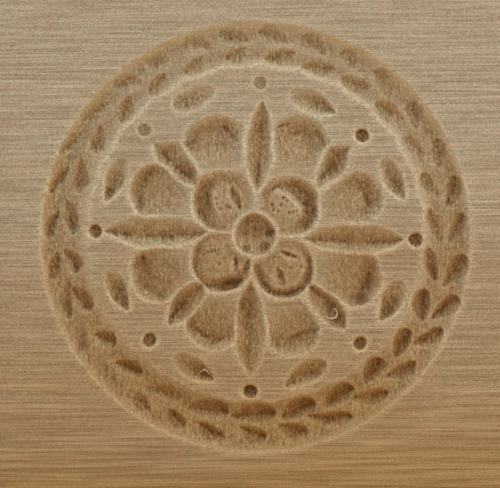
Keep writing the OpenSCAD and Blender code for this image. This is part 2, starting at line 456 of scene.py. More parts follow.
rosette_depth = carve_rosette(drawn_x, drawn_y)
print("rosette: deepest cut", round(float(rosette_depth.max()), 2), "mm")

# %% [markdown]
# ## The wreath
# The wreath is a shallow trough with two rows of leaves cut into it. The outer row runs inwards as it
# goes clockwise and the inner row runs outwards, so the pairs point clockwise like arrowheads. Each
# leaf is one tear-shaped bite of the tool, steep towards the middle of the wreath and soft towards its
# rim, and no two are alike. The inner rim bulges a little at each one.

# %% Wreath trough
RIM_IN, RIM_IN_UP, RIM_OUT = 33.9, 0.55, 43.2
BULGES, FIRST_CUSP, SCALLOP = 27, 1.4, 0.5
INNER_WALL, SIDE_WALL, OUTER_WALL, LOW_WALL = 2.4, 6.0, 3.2, 2.8
TROUGH_DEPTH, TOP_SHARE, FAR_OUT = 0.85, 0.55, (5, 35)
MID_R, MID_W, MID_RIDGE = 38.4, 1.4, 0.25
RIM_WOBBLE = 0.35


def from_inner_rim(x, y):
    """How far a point lies outside the inner rim, a circle with a bulge at each leaf."""
    bulge = np.abs(np.sin(BULGES / 2 * (np.arctan2(x, y) - np.radians(FIRST_CUSP))))
    return np.hypot(x, y - RIM_IN_UP) - RIM_IN + SCALLOP * bulge


def wreath_trough(x, y):
    """Two walls that fall as quarter sines from their rims, of which the shallower one counts, and a low
    ridge between them. The inner wall is wider at the sides, the outer one at the top."""
    r = np.hypot(x, y)
    inner_wall = INNER_WALL + (SIDE_WALL - INNER_WALL) * (x / (r + TINY)) ** 2
    inner = np.sin(np.pi / 2 * np.clip(from_inner_rim(x, y) / inner_wall, -1, 1))
    outer_wall = OUTER_WALL + (LOW_WALL - OUTER_WALL) * smooth(-y, *FAR_OUT)
    outer = np.sin(np.pi / 2 * np.clip((RIM_OUT - r) / outer_wall, -1, 1))
    fall = 1 - (1 - TOP_SHARE) * smooth(y, *FAR_OUT)
    ridge = MID_RIDGE * np.exp(-(((r - MID_R) / MID_W) ** 2))
    return TROUGH_DEPTH * fall * np.minimum(inner, outer) - fall * ridge


near_x = flat_x + RIM_WOBBLE * (drawn_x - flat_x)
near_y = flat_y + RIM_WOBBLE * (drawn_y - flat_y)
trough = wreath_trough(near_x, near_y)
print("trough: deepest", round(float(trough.max()), 2), "mm")

# %% [markdown]
# The leaves are read off the photograph one by one: the angle and radius where each bite starts, the
# angle and radius where it runs out, its breadth, and a share of the full depth. Angles are degrees
# clockwise from the top, and radii and breadths are pixels.

# %% Places of the wreath leaves
OUTER_LEAVES = [
    (0.6, 206, 9.6, 196, 8.7, 0.8), (12.8, 205, 20.9, 194, 9.6, 0.9), (25, 206, 31, 194, 9.6, 0.5),
    (35.7, 206, 44.5, 192, 9.1, 0.9), (48.8, 206, 56.5, 193, 9.1, 0.9), (61.6, 206, 69.7, 194, 8.7, 0.75),
    (73.1, 208, 81.7, 194, 9.6, 0.9), (83.6, 208, 92.2, 193, 9.1, 0.7), (94.9, 209, 105.2, 195, 11.4, 1.1),
    (106.6, 210, 115.2, 194, 10.9, 1.35), (116.7, 209, 124.6, 191, 9.1, 1.2), (128.5, 205, 137, 191, 8.7, 1),
    (140, 205, 150, 187, 9.6, 0.9), (152, 205, 164.5, 187, 9.6, 1.1), (165, 203, 173.5, 191, 10.4, 1.1),
    (176.8, 203, 185.5, 191, 10, 1.1), (189, 205, 198, 195, 9.6, 0.88), (200.7, 204, 207, 194, 10.4, 0.88),
    (212, 205, 217.5, 195, 10, 0.48), (224, 206, 234, 192, 10, 0.12), (235.5, 208, 245, 194, 9.1, 0.3),
    (246.5, 205, 258, 192, 7, 0.75), (258, 207, 266, 198, 7.4, 0.75), (269.3, 209, 278, 199, 7.7, 0.9),
    (282, 210, 290.5, 200, 7.7, 0.9), (292.5, 212, 301, 202, 9.6, 0.55), (303.5, 209, 312.5, 199, 9.6, 0.45),
    (316.3, 207, 324, 193, 8.7, 0.7), (327.5, 204, 334, 195, 9.1, 0.45), (339, 206, 347.6, 192, 8.7, 0.7),
    (349.4, 205, 358, 194, 8.7, 0.8),
]
INNER_LEAVES = [
    (2.9, 178, 12.5, 189, 8.2, 0.8), (15, 175, 25.5, 186, 8.9, 0.8), (28.5, 178, 38, 189, 9.1, 0.8),
    (42, 178, 51.5, 189, 11.1, 0.9), (56, 179, 65, 189, 8.2, 0.4), (69, 178, 77.7, 186, 8.7, 0.65),
    (80.7, 176, 92.7, 187, 8.7, 0.55), (93.8, 172, 104.2, 186, 9.6, 0.9), (107.3, 176, 117.2, 187, 11.8, 1.3),
    (121.3, 179, 131, 186, 10.9, 1.2), (134, 175, 143.2, 184, 12.2, 1.2), (147.4, 179, 157.5, 185, 12, 1.1),
    (160.4, 177, 172.5, 185, 13.2, 1.1), (173.4, 178, 188, 183, 12, 0.9), (188.5, 179, 202, 185, 12.4, 1),
    (204.5, 178, 216, 188, 9.6, 0.35), (220, 179, 228, 189, 10.4, 1), (232.2, 178, 239, 188, 10.4, 1),
    (245.8, 183, 255, 193, 11.4, 1), (258.3, 183, 266.5, 192, 10, 1), (270.5, 184, 281, 193, 8.7, 1),
    (283.5, 183, 294.5, 193, 10, 0.85), (297.5, 182, 305.5, 192, 9.1, 0.9), (309.8, 177, 318, 190, 9.1, 0.9),
    (323.2, 176, 331, 188, 9.1, 0.9), (336.3, 178, 344, 187, 8.2, 0.8), (350.5, 178, 357, 189, 8.7, 0.8),
]
print(len(OUTER_LEAVES), "outer and", len(INNER_LEAVES), "inner leaves")

# %% Cut the wreath leaves
LEAF_DEPTH, GROOVE = 0.74, 0.4
STEEP, SOFT = 0.68, 1.05
TOP_SHALLOW, TOP_BROAD, TOP_FROM = 0.38, 0.3, (8, 34)
NEAR_LEAF = 1.3


def on_wreath(degrees, pixels):
    """A point of the drawing from an angle clockwise from the top and a radius."""
    angle = np.radians(degrees)
    return pixels * MM_PER_PX * np.array((np.sin(angle), np.cos(angle)))


def tear_leaf(x, y, start, end, breadth, depth, soft_side):
    """A bite that is broad just after its start and runs out thin: (1 - s)^0.7 (1 + s)^0.4 wide, with one
    wall steep and the other soft. Its section is a round hollow with a groove along the middle."""
    s, t = along_stroke(x, y, start, end)
    tear = np.clip(1 - s, 0, None) ** 0.7 * np.clip(1 + s, 0, None) ** 0.4
    reach = breadth * tear * np.where(t * soft_side > 0, SOFT, STEEP) + TINY
    out = np.clip(np.abs(t) / reach, 0, 1)
    return depth * tear ** 0.6 * (GROOVE * (1 - out) ** 2 + (1 - GROOVE) * (1 - out ** 1.8))


def leaf_row(x, y, leaves, soft_side):
    """All bites of one row, of which the deepest one counts. Each is only worked out near its start, and
    those at the top of the wreath are worn broader and shallower."""
    depth = np.zeros_like(x)
    for first, first_px, last, last_px, breadth, share in leaves:
        start, end = on_wreath(first, first_px), on_wreath(last, last_px)
        near = np.hypot(x - start[0], y - start[1]) < NEAR_LEAF * np.hypot(*(end - start))
        top = smooth(start[1], *TOP_FROM)
        broad = breadth * MM_PER_PX * (1 + TOP_BROAD * top)
        deep = LEAF_DEPTH * share * (1 - TOP_SHALLOW * top)
        cut = tear_leaf(x[near], y[near], start, end, broad, deep, soft_side)
        depth[near] = np.maximum(depth[near], cut)
    return depth


outer_row = leaf_row(drawn_x, drawn_y, OUTER_LEAVES, 1)
inner_row = leaf_row(drawn_x, drawn_y, INNER_LEAVES, -1)
leaves = np.maximum(outer_row, inner_row)
wreath_depth = trough + leaves
print("wreath: deepest cut", round(float(wreath_depth.max()), 2), "mm")

# %% [markdown]
# ## From cuts to one surface
# The cuts are merged, blunted a little as handling blunts a mould, and given the ripple that a gouge
# leaves in the wood. The plain face is not quite flat either: a plane leaves shallow waves, a few
# hundredths of a millimetre deep. They also keep the mesh even there when it is thinned later on.

# %% Merge, blunt and ripple
FACE_BLEND, BLUNT = 0.1, 0.11
CUT_FROM = (0.1, 0.6)
RIPPLE, RIPPLE_LEN = 0.035, 2.2
STREAK, STREAK_LEN, STREAK_DRAW = 0.03, 1.2, 0.15
PLANE_MARK = 0.007
PLANED_HALF, PLANED_FADE = 48, 2


def blurred(field, radius):
    """A Gaussian blur of the even part of the grid, as a product of two passes."""
    steps = int(np.ceil(2.5 * radius / FINE_STEP))
    weights = np.exp(-0.5 * (np.arange(-steps, steps + 1) * FINE_STEP / radius) ** 2)
    weights /= weights.sum()
    for axis in (0, 1):
        padded = np.pad(field, [(steps, steps) if a == axis else (0, 0) for a in (0, 1)], mode="edge")
        here = np.arange(field.shape[axis])
        field = np.sum([w * np.take(padded, here + i, axis) for i, w in enumerate(weights)], axis=0)
    return field


merged = deeper(deeper(rosette_depth, wreath_depth), np.zeros_like(grid_x), FACE_BLEND)
smooth_depth = blurred(merged, BLUNT)
is_cut = smooth(smooth_depth, *CUT_FROM)
ripple = RIPPLE * soft_waves(flat_x, flat_y, RIPPLE_LEN)
ripple = ripple + STREAK * soft_waves(flat_x, STREAK_DRAW * flat_y, STREAK_LEN)
waves_up = np.sin(2.6 * flat_y + np.sin(0.7 * flat_x))
waves_across = np.sin(1.9 * flat_x + np.sin(0.6 * flat_y))
planed = smooth(PLANED_HALF - np.maximum(np.abs(flat_x), np.abs(flat_y)), 0, PLANED_FADE)
plane_marks = PLANE_MARK * (2 + waves_up + waves_across) * planed
face_depth = np.clip(smooth_depth + is_cut * ripple, 0, None) + plane_marks
print("deepest point", round(float(face_depth.max()), 2), "mm below the face")

# %% [markdown]
# ## Stains
# Fat and flour have soaked into the cut wood. The dark spots that stand out in the photograph are
# listed with their place, their reach and their strength. The wreath's leaves need no list: each is
# stained over its body and more along its core.

# %% Stains in the cut wood
STAINS_PX = [
    ((226, 139), (10, 8), 0.5), ((189, 143), (6, 8), 0.7), ((265, 191), (5, 8), 0.5),
    ((318, 332), (6, 6), 0.55), ((308, 141), (14, 8), 0.45), ((322, 145), (5, 8), 0.5),
    ((335, 166), (9, 12), 0.8), ((186, 174), (8, 10), 0.65), ((367, 200), (4, 13), 0.8),
    ((362, 298), (10, 11), 1.0), ((369, 284), (5, 12), 0.85), ((308, 336), (14, 5), 0.5),
    ((207, 342), (12, 5), 0.45), ((190, 326), (7, 12), 0.65), ((146, 262), (6, 10), 0.45),
    ((140, 204), (4, 9), 0.6), ((205, 205), (5, 15), 0.5), ((307, 203), (6, 7), 1.0),
    ((226, 208), (6, 5), 0.4), ((219, 186), (8, 6), 0.3), ((217, 253), (8, 4), 0.4),
    ((202, 263), (4, 9), 0.5), ((284, 300), (14, 6), 0.35), ((237, 200), (4, 10), 0.5),
    ((230, 283), (12, 6), 0.95), ((243, 273), (5, 8), 0.4), ((290, 293), (14, 6), 0.5),
    ((259, 282), (6, 10), 0.35), ((256, 225), (18, 11), 0.45), ((263, 252), (9, 4), 0.55),
    ((271, 236), (4, 7), 0.7), ((329, 311), (8, 8), 0.8), ((337, 320), (7, 7), 1.0),
    ((181, 306), (9, 14), 0.7), ((204, 213), (6, 10), 0.6), ((215, 224), (11, 5), 0.65),
    ((313, 211), (5, 8), 0.55), ((304, 225), (10, 5), 0.75), ((200, 251), (7, 12), 0.65),
    ((162, 296), (6, 5), 0.6), ((391, 310), (7, 10), 0.9), ((315, 373), (9, 5), 0.75),
    ((116, 300), (5, 9), 0.8), ((111, 196), (5, 7), 0.6), ((242, 304), (4, 14), 0.75),
]
INNER_BODY, OUTER_BODY, CORE_STAIN = 0.2, 0.1, 0.15
LOW_STAIN, TOP_STAIN = 0.22, 0.24
STAIN_FROM = (0.02, 0.2)
BLOB_SPREAD, BLOB_STAIN, DOT_STAIN = 1.3, 2, 0.6


def leaf_stain(x, y):
    """The wreath's stains: the inner row is darker, both rows more so at the bottom and the outer row at
    the right, and at the top the trough itself is stained."""
    low = LOW_STAIN * smooth(-y, -5, 20)
    outer_body = OUTER_BODY * (1 + smooth(x, 15, 35)) + 0.5 * low
    body = np.where(inner_row > outer_row, INNER_BODY + low, outer_body)
    stain = body * smooth(leaves, 0.02, 0.15) + CORE_STAIN * smooth(leaves, 0.25, 0.5)
    at_top = TOP_STAIN * np.clip(trough / 0.3, 0, 1) * smooth(y, 10, 30)
    return np.maximum(stain, at_top) * is_cut


def soaked_wood(x, y):
    """The strongest of the wreath's stains, bell-shaped spots inside cuts, and the blobs and dots, which
    are stained by their depth."""
    stain = leaf_stain(x, y)
    for spot, reach, strength in STAINS_PX:
        middle, reach = from_photo(spot), np.array(reach) * MM_PER_PX
        bell = np.exp(-(((x - middle[0]) / reach[0]) ** 2 + ((y - middle[1]) / reach[1]) ** 2))
        stain = np.maximum(stain, strength * bell * smooth(smooth_depth, *STAIN_FROM))
    for spot, radius, depth in BLOBS_PX:
        blob = round_hollow(x, y, from_photo(spot), BLOB_SPREAD * radius, BLOB_STAIN * depth, PRICK_POWER)
        stain = np.maximum(stain, np.clip(blob, 0, 1))
    for spot, depth in DOTS_PX:
        dot = round_hollow(x, y, from_photo(spot), DOT_R, depth, DOT_POWER)
        stain = np.maximum(stain, np.clip(dot, 0, DOT_STAIN))
    return stain


soaked = soaked_wood(drawn_x, drawn_y)
print("stained share of the face", round(float((soaked > 0.3).mean()), 3))

# %% [markdown]
# ## Paint masks
# The arrays that make the surface also say how it has aged and where light and shade are painted on it.
# A mask is a share from 0 to 1 for each point of the face, and the wood finish reads it by its name.
# Walls that face the window are painted pale as painted light and walls that face away are painted tan
# as painted shade, so the slope towards the top tells the two apart.

# %% Walls that face the window or turn from it
WALL_BLUNT, WALL_SLOPE, SHADE_FROM = 0.3, 0.65, 0.06
DISC_PALE, DISC_FLOOR = 0.8, 0.95
SHADE_BLUNT, SHADE_MOST = 0.4, 0.85


def slope_up(depth, blunt):
    """How fast a blunted depth grows towards the top: above zero where a wall faces the window."""
    return np.gradient(blurred(depth, blunt), y_lines, axis=0)


# Painted light and shade: a wall that rises towards the top is painted pale, one that falls is painted tan.
rise = slope_up(smooth_depth, WALL_BLUNT)
lit_and_pale = np.clip(rise / WALL_SLOPE, 0, 1)
shaded_and_tan = np.clip((-rise - SHADE_FROM) / WALL_SLOPE, 0, 1)
# The lower half of the disc faces the window and is painted pale as painted light as well.
in_disc = smooth(DISC_FLOOR - np.hypot(flat_x - disc[0], flat_y - disc[1]) / DISC_R, 0, 0.2)
low_half = smooth((disc[1] - flat_y) / DISC_R, 0, 0.3)
lit_and_pale = np.maximum(lit_and_pale, DISC_PALE * in_disc * low_half)
shaded = np.clip(2 * blurred(shaded_and_tan, SHADE_BLUNT), 0, SHADE_MOST)
print("lit_and_pale", round(float(lit_and_pale.mean()), 3), "shaded_and_tan", round(float(shaded_and_tan.mean()), 3))

# %% [markdown]
# A hollow lies below its surroundings and a ridge stands above them. The surface less a blurred copy of
# itself finds both, and the width of the blur sets the size of what is found. Hollows, creases and deep
# parts are darkened with painted shade and some dirt, and less so on walls painted as lit.

# %% Hollows and creases
HOLLOW_BLUR, HOLLOW_FULL = 1.6, 0.55
CREASE_BLUR, CREASE_FULL = 0.55, 0.17
DEEP_FROM, LESS_SHADE_ON_LIT = (0.35, 1.7), 0.65


def below_around(blur, full):
    """How far a point lies below its surroundings, from 0 to 1 at the full depth; a full depth below zero
    asks how far it stands above them."""
    return np.clip((smooth_depth - blurred(smooth_depth, blur)) / full, 0, 1)


# Painted shade with some dirt: less of it on the walls painted as lit.
shade_kept = 1 - LESS_SHADE_ON_LIT * lit_and_pale
hollow = below_around(HOLLOW_BLUR, HOLLOW_FULL) * shade_kept
crease = below_around(CREASE_BLUR, CREASE_FULL)
deep = smooth(smooth_depth, *DEEP_FROM) * shade_kept
print("hollow", round(float(hollow.mean()), 3), "crease", round(float(crease.mean()), 3))

# %% [markdown]
# The wreath's leaves are narrow, so their own slope tells which wall is painted pale as lit and which
# brown as shaded, and stains are painted lighter on the lit walls. Ridges are painted pale, partly as
# wear and partly as a painted highlight, but less so beside a shaded wall, deep in a cut, at the top of
# the wreath and where the wood is stained.

# %% Two-toned leaves and worn ridges
LEAF_BLUNT, LEAF_SLOPE, LEAF_MOST = 0.2, 0.3, 0.8
RIDGE_BLUR, RIDGE_FULL = 0.45, 0.09
SUNK_LOSS, TOP_LOSS, STAIN_LOSS = 0.75, 0.6, 0.8
# Painted light and shade on the leaves: walls that rise towards the top pale, walls that fall tan.
leaf_rise = slope_up(leaves, LEAF_BLUNT) / LEAF_SLOPE * smooth(leaves, 0.02, 0.1)
leaf_lit = np.clip(leaf_rise, 0, LEAF_MOST) * smooth(-flat_x, -15, 10)
lit_and_pale = np.maximum(lit_and_pale, leaf_lit)
shaded_and_tan = np.maximum(shaded_and_tan, np.clip(-leaf_rise, 0, LEAF_MOST))
# Stains are painted lighter on the walls painted as lit.
soaked = soaked * (1 - 0.12 * lit_and_pale - 0.5 * leaf_lit)
# Ridges are pale as wear and as a painted highlight, so none beside a wall painted as shaded.
ridge = below_around(RIDGE_BLUR, -RIDGE_FULL) * (1 - shaded)
ridge *= 1 - SUNK_LOSS * smooth(smooth_depth, 0.3, 0.7)
ridge *= 1 - TOP_LOSS * smooth(trough, 0.1, 0.3) * smooth(flat_y, -25, 0)
ridge *= 1 - STAIN_LOSS * soaked
print("ridge", round(float(ridge.mean()), 3), "soaked", round(float(soaked.mean()), 3))

# %% [markdown]
# The wreath's rims have a look of their own. The outer wall is painted tan as shade at the top left and
# pale as lit at the bottom, the inner wall is painted pale at both sides, and a thin pale line, partly
# wear and partly painted highlight, follows each rim. The field inside the wreath is a little browner
# than the margin, the heart is warmer, and the lower cuts are painted warmer as the warm light there.

# %% Rims, heart and field
LOW_RIM, LOW_RIM_LIT, SIDE_PALE = (37.5, 39.5), 0.75, 0.5
RIM_BAND, RIM_SHADE = (41.0, 42.0), 0.8
HEART_R, HEART_FADE, HEART_TAN, LOW_CUT_WARM_LIGHT = 16, 3, 0.28, 0.2
INNER_LINE, INNER_LINE_AT, INNER_LINE_W = 0.85, 0.1, 0.5
OUTER_LINE, OUTER_LINE_W = 0.7, 0.4
FIELD_OIL, FIELD_FADE = 0.12, 3
from_middle = np.hypot(near_x, near_y)
from_outer = RIM_OUT - from_middle
from_inner = from_inner_rim(near_x, near_y)
# Painted light: the outer wall at the bottom faces the window and is painted pale.
low_rim = smooth(from_middle, *LOW_RIM) * smooth(from_outer, 0, 1) * smooth(-flat_y, 5, 22)
lit_and_pale = np.maximum(lit_and_pale, LOW_RIM_LIT * low_rim * (1 - np.clip(leaves / 0.3, 0, 1)))
# Painted shade: the outer wall at the top left turns from the window and is painted tan.
high_rim = smooth(from_middle, *RIM_BAND) * smooth(from_outer, -0.1, 0.5)
high_rim *= smooth(flat_y - 0.35 * flat_x, -6, 16)
# The heart is tinted tan, and the lower cuts take painted warm light, in the same tan coat.
heart = HEART_TAN * smooth(HEART_R - from_middle, 0, HEART_FADE) * smooth(smooth_depth, 0.02, 0.15)
tan_heart_and_warm_low_cuts = np.maximum(heart, LOW_CUT_WARM_LIGHT * smooth(-flat_y, 5, 15) * is_cut)
shaded_and_tan = np.maximum(shaded_and_tan, np.maximum(RIM_SHADE * high_rim, tan_heart_and_warm_low_cuts * (1 - lit_and_pale)))
# The inner wall at both sides is painted pale in the same coat as the lit walls.
side_wall = smooth(from_inner, 0, 0.5) * smooth(-from_inner, -2.6, -1.2) * smooth(np.abs(flat_x), 20, 30)
lit_and_pale = np.maximum(lit_and_pale, SIDE_PALE * side_wall * (1 - np.clip(leaves / 0.2, 0, 1)))
# Pale rim lines, wear and painted highlight: the inner one fades out at the bottom, the outer one shows only
# there.
inner_line = np.exp(-(((from_inner - INNER_LINE_AT) / INNER_LINE_W) ** 2)) * smooth(flat_y, -30, -10)
inner_line *= 0.4 + 0.6 * smooth(flat_y, -10, 15)
outer_line = np.exp(-((from_outer / OUTER_LINE_W) ** 2)) * smooth(-flat_y, 0, 25)
ridge = np.maximum(ridge, np.maximum(INNER_LINE * inner_line, OUTER_LINE * outer_line))
field = FIELD_OIL * (1 + 0.5 * smooth(-flat_x, 10, 25)) * smooth(from_outer, 0, FIELD_FADE)
masks = {
    "cut": is_cut, "field": field * (1 - is_cut), "deep": deep, "hollow": hollow, "crease": crease,
    "ridge": ridge, "lit_and_pale": lit_and_pale, "shaded_and_tan": shaded_and_tan, "soaked": soaked,
}
print({name: round(float(mask.mean()), 3) for name, mask in masks.items()})

# %% [markdown]
# ## The board as one closed mesh
# The top is the height map. Its border is carried down the four sides as rings, and the back is a
# wider grid. A single rule rounds every arris: a point is held inside a smaller box and pushed out by
# a radius. One closed mesh has no seams to hide, and its solid can be printed or weighed.

# %% Helpers for meshes


def mesh_piece(name, points, faces):
    """A mesh object from points in millimetres and lists of face corners."""
    mesh = bpy.data.meshes.new(name)
    mesh.from_pydata((np.asarray(points) * MM).tolist(), [], [list(f) for f in faces])
    mesh.update()
    piece = bpy.data.objects.new(name, mesh)
    bpy.context.scene.collection.objects.link(piece)
    return piece


def grid_faces(ids):
    """Quads between the neighbouring entries of a table of point numbers."""
    quads = np.stack((ids[:-1, :-1], ids[:-1, 1:], ids[1:, 1:], ids[1:, :-1]), axis=-1)
    return quads.reshape(-1, 4)


def border_of(ids):
    """The outer ring of a table of point numbers, going round once from its first corner."""
    return np.concatenate((ids[0, :-1], ids[:-1, -1], ids[-1, :0:-1], ids[:0:-1, 0]))


def rounded(points, low, high, radius):
    """Each point is clamped into the box shrunk by the radius, then moved out by it."""
    core = np.clip(points, low + radius, high - radius)
    out = points - core
    size = np.linalg.norm(out, axis=1, keepdims=True)
    return core + out / np.maximum(size, 1e-9) * np.where(size > 0, radius, 0)


print("helpers: mesh_piece, grid_faces, border_of, rounded")

# %% Points and faces of the board
SIDE_RINGS = 32
BACK_SKIP = 4
BACK_INSETS = ARRIS_R * np.array((0.35, 0.7, 1))
BACK_GRID_INSET = 2.5 * ARRIS_R


def board_shell():
    """Top grid, rings of its border down the sides and onto the back, then every fourth line as a grid on
    the back, joined to the last ring by a seam of larger faces."""
    top_ids = np.arange(grid_x.size).reshape(grid_x.shape)
    top = np.column_stack((grid_x.ravel(), grid_y.ravel(), np.full(grid_x.size, FACE_Z)))
    edge = top[border_of(top_ids)]
    arris = ARRIS_R * np.arange(1, ARRIS_LINES + 1) / ARRIS_LINES
    side = np.linspace(ARRIS_R, FACE_Z - ARRIS_R, SIDE_RINGS)[1:]
    falls = np.concatenate((arris, side, FACE_Z - arris[-2::-1], [FACE_Z]))
    rings = [edge - (0, 0, fall) for fall in falls]
    rings += [edge * (1 - inset / HALF_W, 1 - inset / HALF_H, 0) for inset in BACK_INSETS]
    back_columns = x_lines[::BACK_SKIP] * (1 - BACK_GRID_INSET / HALF_W)
    back_rows = y_lines[::BACK_SKIP] * (1 - BACK_GRID_INSET / HALF_H)
    back_x, back_y = np.meshgrid(back_columns, back_rows)
    back = np.column_stack((back_x.ravel(), back_y.ravel(), np.zeros(back_x.size)))
    points = np.concatenate([top] + rings + [back])
    ring_ids = np.arange(len(edge) * len(rings)).reshape(len(rings), -1) + len(top)
    loops = np.vstack((border_of(top_ids), ring_ids))
    loops = np.column_stack((loops, loops[:, :1]))
    back_ids = np.arange(len(back)).reshape(back_x.shape) + len(points) - len(back)
    rim = border_of(back_ids)
    last = loops[-1, :-1].reshape(-1, BACK_SKIP)
    seam = np.column_stack((last[:, :1], rim, np.roll(rim, -1), np.roll(last[:, 0], -1), last[:, :0:-1]))
    faces = grid_faces(top_ids).tolist() + grid_faces(loops[:, ::-1]).tolist()
    faces += seam.tolist() + grid_faces(back_ids)[:, ::-1].tolist()
    return points, faces


shell_points, shell_faces = board_shell()
print("board shell:", len(shell_points), "points", len(shell_faces), "faces")

# %% [markdown]
# ## Saw, plane and knocks
# The sides and back were never carved. The ends keep faint saw lines, the long sides and the back the
# shallow waves of a hand plane, and years in a kitchen drawer knock small dents into the arrises. All
# of them only take wood away, so the board stays inside its true size.

# %% Tool marks on sides and back
SAW_DEPTH, SAW_STEP, SAW_TILT = 0.06, 1.4, np.radians(14)
PLANE_DEPTH, PLANE_STEP = 0.07, 6.5
KNOCKS, KNOCK_R, KNOCK_DEPTH = 16, (0.8, 1.8), (0.15, 0.45)
ON_FACE = 1e-4


def tool_marked(points):
    """Saw lines on the ends, plane waves on the sides and back: each moves its own flat face inwards."""
    x, y, z = points.T
    marked = points.copy()
    on_end, on_side, on_back = np.abs(x) > HALF_W - ON_FACE, np.abs(y) > HALF_H - ON_FACE, z < ON_FACE
    sawn = (y * np.cos(SAW_TILT) + z * np.sin(SAW_TILT)) / SAW_STEP
    lines = np.sin(2 * np.pi * sawn + soft_waves(y, z, 9))
    marked[:, 0] -= np.sign(x) * on_end * SAW_DEPTH * (0.5 + 0.5 * lines)
    waves = np.clip(0.5 + 0.4 * soft_waves(0.25 * x, z, 7.0), 0, 1)
    marked[:, 1] -= np.sign(y) * on_side * PLANE_DEPTH * waves
    passes = 0.5 + 0.5 * np.cos(2 * np.pi * y / PLANE_STEP + 0.8 * soft_waves(0.3 * x, y, 30))
    bite = np.clip(0.6 + 0.5 * soft_waves(x, y, 25), 0.1, 1)
    marked[:, 2] += on_back * PLANE_DEPTH * passes * bite
    return marked


def knocked(points):
    """Dents on random arris spots: a bell-shaped push towards the board's middle line."""
    for _ in range(KNOCKS):
        corner = [hand.choice(pair) for pair in ((-HALF_W, HALF_W), (-HALF_H, HALF_H), (0, FACE_Z))]
        spot = np.array(corner)
        free = hand.integers(0, 2)
        spot[free] *= hand.uniform(-0.9, 0.9)
        inward = np.array((0, 0, FACE_Z / 2)) - spot
        inward[free] = 0
        inward = np.sign(inward) / np.sqrt(2)
        gap = np.linalg.norm(points - spot, axis=1) / hand.uniform(*KNOCK_R)
        points = points + hand.uniform(*KNOCK_DEPTH) * np.exp(-gap * gap)[:, None] * inward
    return points


print("tool marks and", KNOCKS, "knocks are ready to be worked out")

# %% Finish the shell
HOLE_R, HOLE_DEPTH = 1.7, 0.35
hinge = np.array(frame["record"]["behaviour"]["joints"][0]["pos_m"]) / MM


def finished_shell():
    """The shell rounded, marked and knocked, with the carving taken out of its face and a bruise in its top
    edge where the eye goes in."""
    points = knocked(tool_marked(rounded(shell_points, board_low, board_high, ARRIS_R)))
    from_hole = np.hypot(points[:, 0] - hinge[0], points[:, 2] - hinge[2]) / HOLE_R
    points[:, 1] -= (points[:, 1] > HALF_H - 0.5) * HOLE_DEPTH * np.exp(-(from_hole ** 4))
    points[: grid_x.size, 2] -= face_depth.ravel()
    return points


shell_points = finished_shell()
print("board from", shell_points.min(0).round(2), "to", shell_points.max(0).round(2))

# %% [markdown]
# ## Thinning
# The even grid spends as many triangles on the flat face as on the carving. Blender's Decimate takes
# them out where the surface is flat, and carries the paint masks along.

# %% Thin the flat parts of the board
BOARD_TRIANGLES = 192000


def paint(piece, name, values):
    """Stores one number for each point of the piece, for its material to read."""
    layer = piece.data.attributes.new(name, "FLOAT", "POINT")
    layer.data.foreach_set("value", np.asarray(values, np.float32))


def make_board():
    """The full shell with its masks, decimated to the wished number of triangles."""
    board = mesh_piece("carved_board", shell_points, shell_faces)
    rest = np.zeros(len(shell_points) - grid_x.size)
    for name, mask in masks.items():
        paint(board, name, np.append(mask.ravel(), rest))
    thin = board.modifiers.new("thin", "DECIMATE")
    thin.ratio = BOARD_TRIANGLES / sum(len(f) - 2 for f in shell_faces)
    kept = bpy.data.meshes.new_from_object(board.evaluated_get(bpy.context.evaluated_depsgraph_get()))
    board.modifiers.clear()
    board.data = kept
    kept.shade_smooth()
    return board


carved_board = make_board()
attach(carved_board, "board")
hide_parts("mould_board")
print("carved_board:", len(carved_board.data.polygons), "faces with the masks", list(masks))

# %% [markdown]
# ## Round wire
# The eye and the ring are bent from round brass wire. A wire is a circle carried along a flat path:
# the plane's normal and its cross product with the path's direction span the circle, so it never
# twists. A radius for each point and side also gives the screw thread and the filed ends.

# %% Swept wire
WIRE_SIDES = 28
FILED_LEN, FILED_TO = 0.35, 0.7


def swept_wire(path, normal, radius):
    """Circles of the given radii round each point of a flat path, joined into a tube that is closed at
    both ends."""
    along = np.gradient(path, axis=0)
    along /= np.linalg.norm(along, axis=1, keepdims=True)
    turn = np.linspace(0, 2 * np.pi, WIRE_SIDES, endpoint=False)[None, :, None]
    circle = np.cos(turn) * normal + np.sin(turn) * np.cross(along, normal)[:, None, :]
    points = (path[:, None, :] + radius[:, :, None] * circle).reshape(-1, 3)
    ids = np.arange(len(points)).reshape(len(path), WIRE_SIDES)
    ids = np.column_stack((ids, ids[:, 0]))
    first = np.column_stack((ids[0, :-1], ids[0, 1:], np.full(WIRE_SIDES, len(points))))
    last = np.column_stack((ids[-1, 1:], ids[-1, :-1], np.full(WIRE_SIDES, len(points) + 1)))
    faces = grid_faces(ids)[:, ::-1].tolist() + first.tolist() + last.tolist()
    return np.concatenate((points, path[:1], path[-1:])), faces


def filed_end(distance, wire):
    """1 along the wire, falling on a quarter circle to a share of that over the last stretch."""
    part = np.clip(distance / (FILED_LEN * wire), 0, 1)
    return FILED_TO + (1 - FILED_TO) * np.sqrt(1 - (1 - part) ** 2)


print("wire of", WIRE_SIDES, "sides")

# %% [markdown]
# ## Torn fibres
# The tool tore two fibres loose and left them curled up in their cuts. Each is a thin wire through five
# spots of the photograph. Its ends stay in the wood, its middle stands a little clear of the cut, and
# no part of it rises above the face.

# %% Loose fibres
FIBRES_PX = {
    "curled_fibre": [(333, 308), (337, 312.5), (335.5, 317.5), (330, 318.5), (325, 315)],
    "small_fibre": [(200.5, 374), (201.5, 371), (204.5, 369.8), (207.5, 371.5), (208.5, 375)],
}
FIBRE_R, FIBRE_LIFT, FIBRE_ROOT, FIBRE_STEPS = 0.2, 0.45, 0.1, 48


